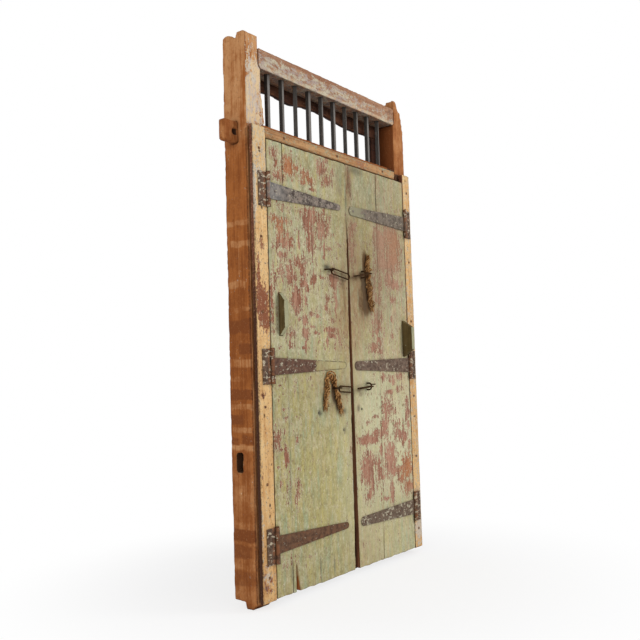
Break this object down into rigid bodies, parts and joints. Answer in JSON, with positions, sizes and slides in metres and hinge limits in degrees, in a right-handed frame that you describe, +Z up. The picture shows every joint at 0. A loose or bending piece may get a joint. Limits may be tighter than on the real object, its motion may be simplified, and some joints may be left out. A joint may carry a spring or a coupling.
{
  "type": "double plank door in its frame",
  "caption": "Old double-leaf plank door in a heavy wooden frame with a barred opening above, strap hinges, latch chains and rope ends; both leaves swing outward.",
  "frame": {"origin": "middle of the doorway at the floor under the left foot, in the plane of the posts' front faces", "axes": "+Z up, -Y to the front where the leaves open, +X to the right seen from the front"},
  "size_m": [1.398, 0.209, 2.323],
  "materials": {
    "leaf_paint": "flaked sage green paint over reddish plank wood",
    "casing_wood": "worn tan wood with paint remains",
    "post_wood": "bare sawn orange-brown wood",
    "rail_paint": "pale grey paint worn to the wood",
    "rough_wood": "dark rough sawn wood",
    "block_wood": "dark olive wood with pale paint on the front",
    "bar_iron": "dull dark grey",
    "hinge_iron": "dark rusted iron with pale flecks",
    "chain_iron": "dark rusted iron",
    "rope": "frayed natural fibre"
  },
  "bodies": {
    "frame": {"bar_1": "bar_iron", "bar_10": "bar_iron", "bar_2": "bar_iron", "bar_3": "bar_iron", "bar_4": "bar_iron", "bar_5": "bar_iron", "bar_6": "bar_iron", "bar_7": "bar_iron", "bar_8": "bar_iron", "bar_9": "bar_iron", "casing_nails": "hinge_iron", "head_casing": "casing_wood", "left_casing": "casing_wood", "left_pins": "hinge_iron", "left_plate_bottom": "hinge_iron", "left_plate_middle": "hinge_iron", "left_plate_top": "hinge_iron", "left_post": "post_wood", "plate_nails": "hinge_iron", "rear_jamb": "rough_wood", "rear_lintel": "rough_wood", "right_casing": "casing_wood", "right_pins": "hinge_iron", "right_plate_bottom": "hinge_iron", "right_plate_middle": "hinge_iron", "right_plate_top": "hinge_iron", "right_post": "post_wood", "top_rail": "rail_paint", "transom_rail": "post_wood"},
    "left_leaf": {"left_block": "block_wood", "left_ledge_bottom": "rough_wood", "left_ledge_middle": "rough_wood", "left_ledge_top": "rough_wood", "left_nails": "hinge_iron", "left_plank_narrow": "leaf_paint", "left_plank_wide": "leaf_paint", "left_strap_bottom": "hinge_iron", "left_strap_middle": "hinge_iron", "left_strap_top": "hinge_iron", "lower_left_staple": "chain_iron", "lower_rope": "rope", "upper_left_staple": "chain_iron"},
    "right_leaf": {"lower_right_staple": "chain_iron", "right_block": "block_wood", "right_ledge_bottom": "rough_wood", "right_ledge_middle": "rough_wood", "right_ledge_top": "rough_wood", "right_meeting_strip": "rough_wood", "right_nails": "hinge_iron", "right_plank_inner": "leaf_paint", "right_plank_outer": "leaf_paint", "right_strap_bottom": "hinge_iron", "right_strap_middle": "hinge_iron", "right_strap_top": "hinge_iron", "upper_right_staple": "chain_iron", "upper_rope": "rope"},
    "lower_left_link": {"lower_left_link": "chain_iron"},
    "lower_right_link": {"lower_right_link": "chain_iron"},
    "upper_left_link": {"upper_left_link": "chain_iron"},
    "upper_right_link": {"upper_right_link": "chain_iron"}
  },
  "joints": [
    {"name": "left_leaf_hinge", "type": "hinge", "parent": "frame", "child": "left_leaf", "pos_m": [-0.5345, -0.0376, 0.95], "axis": [0, 0, -1], "range_deg": [0, 120]},
    {"name": "right_leaf_hinge", "type": "hinge", "parent": "frame", "child": "right_leaf", "pos_m": [0.548, -0.0376, 0.95], "axis": [0, 0, 1], "range_deg": [0, 120]},
    {"name": "upper_left_link_swing", "type": "hinge", "parent": "left_leaf", "child": "upper_left_link", "pos_m": [-0.121, -0.041, 1.373], "axis": [0, 0, -1], "range_deg": [0, 110]},
    {"name": "lower_left_link_swing", "type": "hinge", "parent": "left_leaf", "child": "lower_left_link", "pos_m": [-0.089, -0.041, 0.848], "axis": [0, 0, -1], "range_deg": [0, 110]},
    {"name": "upper_right_link_swing", "type": "hinge", "parent": "right_leaf", "child": "upper_right_link", "pos_m": [0.14, -0.052, 1.373], "axis": [0, 0, 1], "range_deg": [0, 110]},
    {"name": "lower_right_link_swing", "type": "hinge", "parent": "right_leaf", "child": "lower_right_link", "pos_m": [0.155, -0.052, 0.848], "axis": [0, 0, 1], "range_deg": [0, 110]}
  ]
}
